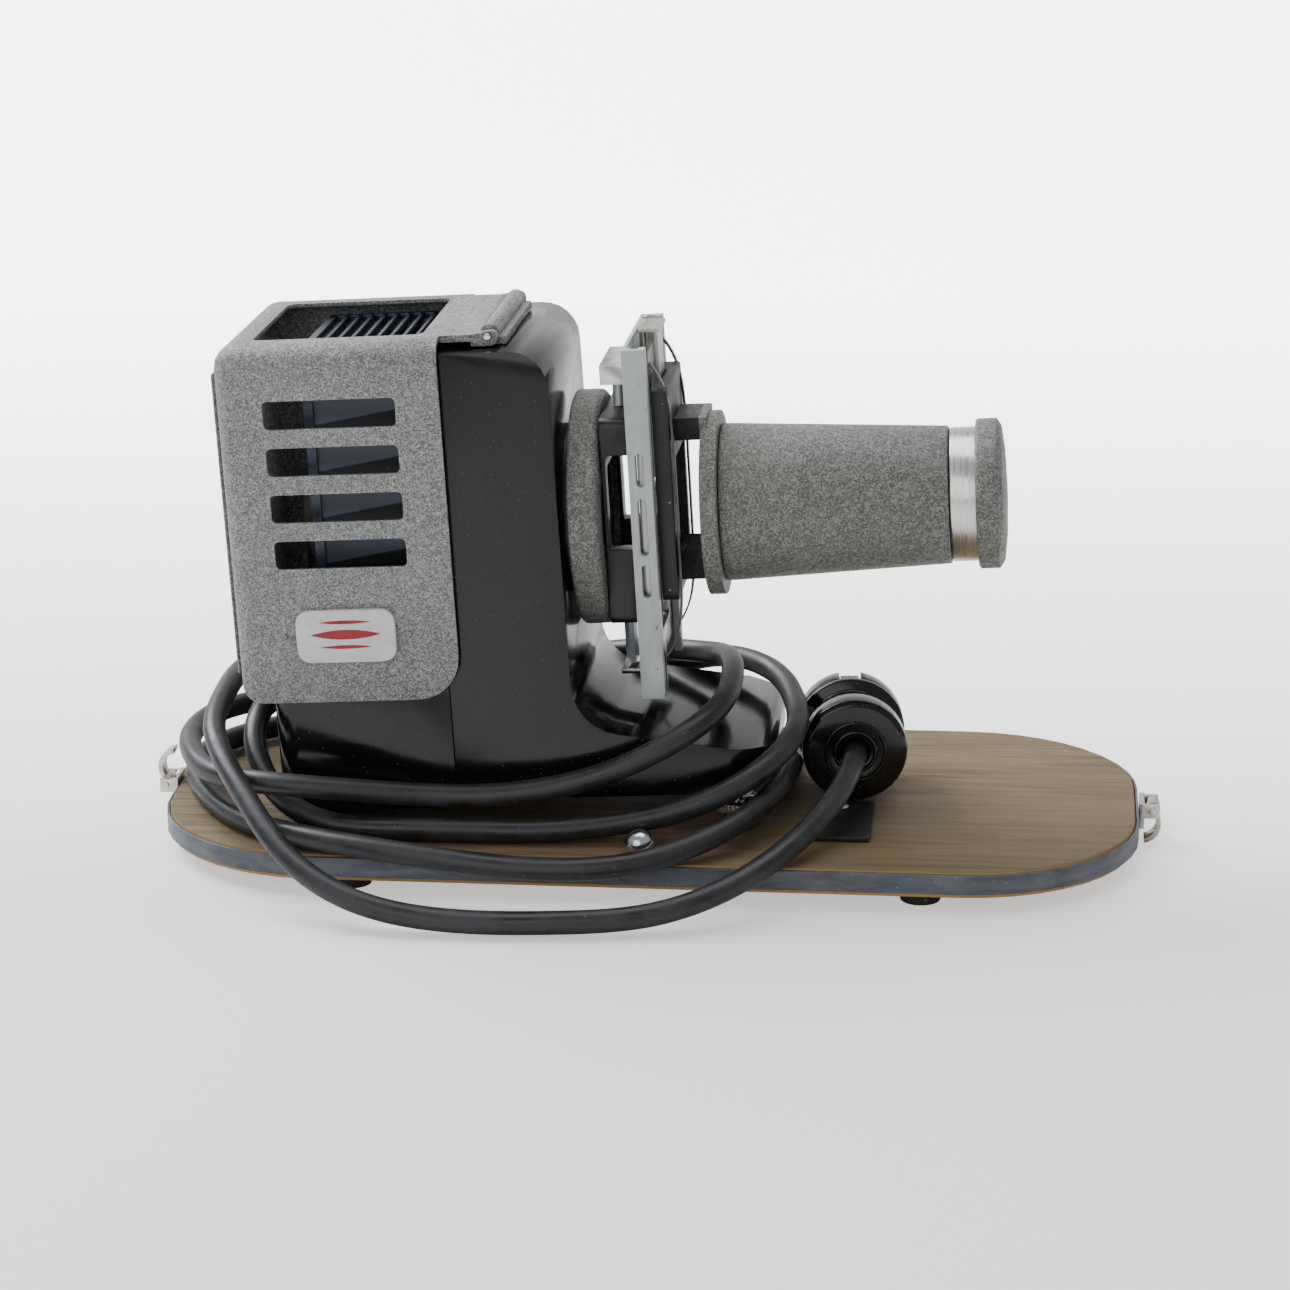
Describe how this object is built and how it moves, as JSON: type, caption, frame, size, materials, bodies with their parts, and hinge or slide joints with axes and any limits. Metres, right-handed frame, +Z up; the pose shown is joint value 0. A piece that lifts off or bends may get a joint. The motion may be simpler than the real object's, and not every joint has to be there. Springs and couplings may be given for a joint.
{
  "type": "slide projector",
  "caption": "Slide projector with a hinged slotted lamp cover, a sliding slide changer and a tapered lens, on its plywood case board with the mains cord coiled round it.",
  "frame": {"origin": "middle of the case board's length and width, on the floor under its feet", "axes": "+X the way the lens points, +Y away from the side with the nameplate, +Z up"},
  "size_m": [0.3354, 0.191, 0.1761],
  "materials": {
    "plywood": "clear-varnished plywood, worn",
    "blue_band": "grey-blue band",
    "rubber": "black rubber",
    "nickel": "bright nickel plate",
    "chrome": "chrome plate",
    "black_gloss": "glossy black enamel on cast metal",
    "black_paint": "satin black paint",
    "grey_wrinkle": "grey wrinkle paint on sheet metal",
    "dark_wrinkle": "dark grey wrinkle paint on cast metal",
    "pale_paint": "pale grey-green paint",
    "steel": "bare spring steel",
    "shield_steel": "blued sheet steel",
    "aluminium": "bright turned aluminium",
    "enamel": "glossy white enamel",
    "mirror": "silvered",
    "glass": "polished",
    "ceramic": "glazed ceramic",
    "bakelite": "glossy black moulded"
  },
  "bodies": {
    "stand": {"base_board": "plywood", "edge_band": "blue_band", "board_foot_rear_right": "rubber", "board_foot_rear_left": "rubber", "board_foot_front_right": "rubber", "board_foot_front_left": "rubber", "ball_stud": "chrome", "plug_bracket": "black_paint", "bracket_screw": "nickel", "rear_latch_plate": "nickel", "front_latch_plate": "nickel", "front_casting": "black_gloss", "rear_base": "black_gloss", "chassis_plate": "steel", "condenser_neck": "black_paint", "condenser_lens_rear": "glass", "condenser_lens_front": "glass", "heat_filter": "glass", "heat_filter_holder": "shield_steel", "lamp_socket": "ceramic", "lamp": "glass", "reflector": "mirror", "heat_shield_right": "shield_steel", "heat_shield_left": "shield_steel", "vent_grille": "shield_steel", "hinge_knuckle": "grey_wrinkle", "hinge_pin": "chrome", "inlet_elbow": "black_paint", "strain_relief": "rubber", "mains_cord": "rubber", "plug_shell": "bakelite", "plug_insert": "bakelite", "plug_pin_rear": "nickel", "plug_pin_front": "nickel"},
    "rear_hook": {"rear_latch_hook": "nickel"},
    "front_hook": {"front_latch_hook": "nickel"},
    "cover": {"lamp_cover": "grey_wrinkle", "cover_rear_panel": "grey_wrinkle", "nameplate": "enamel"},
    "front_unit": {"turning_ring": "dark_wrinkle", "slide_gate": "dark_wrinkle", "upper_catch": "chrome", "lower_catch": "chrome", "changer_frame": "pale_paint", "guide_plate": "black_paint", "upper_slide_spring": "steel", "lower_slide_spring": "steel", "lens_carrier": "dark_wrinkle", "lens_tube": "dark_wrinkle"},
    "carriage": {"slide_carriage": "steel"},
    "lens": {"lens_cell": "aluminium", "lens_glass_rear": "glass", "lens_glass_front": "glass"},
    "focus": {"focus_ring": "aluminium"},
    "cap": {"lens_cap": "black_gloss"},
    "right_pad": {"right_level_pad": "rubber"},
    "right_wheel": {"right_level_wheel": "chrome"},
    "left_pad": {"left_level_pad": "rubber"},
    "left_wheel": {"left_level_wheel": "chrome"}
  },
  "joints": [
    {"name": "rear_latch_hinge", "type": "hinge", "parent": "stand", "child": "rear_hook", "pos_m": [-0.1648, 0, 0.012], "axis": [0, 1, 0], "range_deg": [-100, 0]},
    {"name": "front_latch_hinge", "type": "hinge", "parent": "stand", "child": "front_hook", "pos_m": [0.1648, 0, 0.012], "axis": [0, 1, 0], "range_deg": [-100, 0]},
    {"name": "cover_hinge", "type": "hinge", "parent": "stand", "child": "cover", "pos_m": [-0.04779, 0, 0.17318], "axis": [0, 1, 0], "range_deg": [0, 85]},
    {"name": "front_unit_turn", "type": "hinge", "parent": "stand", "child": "front_unit", "pos_m": [-0.02304, 0, 0.10999], "axis": [0.9986, 0, 0.0523], "range_deg": [-90, 90]},
    {"name": "carriage_travel", "type": "slide", "parent": "front_unit", "child": "carriage", "axis": [-0.0523, 0, 0.9986], "range_m": [0, 0.026]},
    {"name": "lens_travel", "type": "slide", "parent": "front_unit", "child": "lens", "axis": [0.9986, 0, 0.0523], "range_m": [0, 0.012]},
    {"name": "focus_turn", "type": "hinge", "parent": "lens", "child": "focus", "pos_m": [0.09709, 0, 0.11628], "axis": [0.9986, 0, 0.0523], "range_deg": [0, 360]},
    {"name": "cap_travel", "type": "slide", "parent": "focus", "child": "cap", "axis": [0.9986, 0, 0.0523], "range_m": [0, 0.02]},
    {"name": "right_level_travel", "type": "slide", "parent": "stand", "child": "right_pad", "axis": [-0.0523, 0, 0.9986], "range_m": [0, 0.0025]},
    {"name": "right_wheel_turn", "type": "hinge", "parent": "right_pad", "child": "right_wheel", "pos_m": [0.03118, -0.036, 0.02311], "axis": [-0.0523, 0, 0.9986], "range_deg": [0, 900]},
    {"name": "left_level_travel", "type": "slide", "parent": "stand", "child": "left_pad", "axis": [-0.0523, 0, 0.9986], "range_m": [0, 0.0025]},
    {"name": "left_wheel_turn", "type": "hinge", "parent": "left_pad", "child": "left_wheel", "pos_m": [0.03118, 0.036, 0.02311], "axis": [-0.0523, 0, 0.9986], "range_deg": [0, 900]}
  ],
  "couplings": [
    {"joint": "lens_travel", "follows": "focus_turn", "m_per_rad": 0.0019098},
    {"joint": "right_level_travel", "follows": "right_wheel_turn", "m_per_rad": 0.00015915},
    {"joint": "left_level_travel", "follows": "left_wheel_turn", "m_per_rad": 0.00015915}
  ]
}
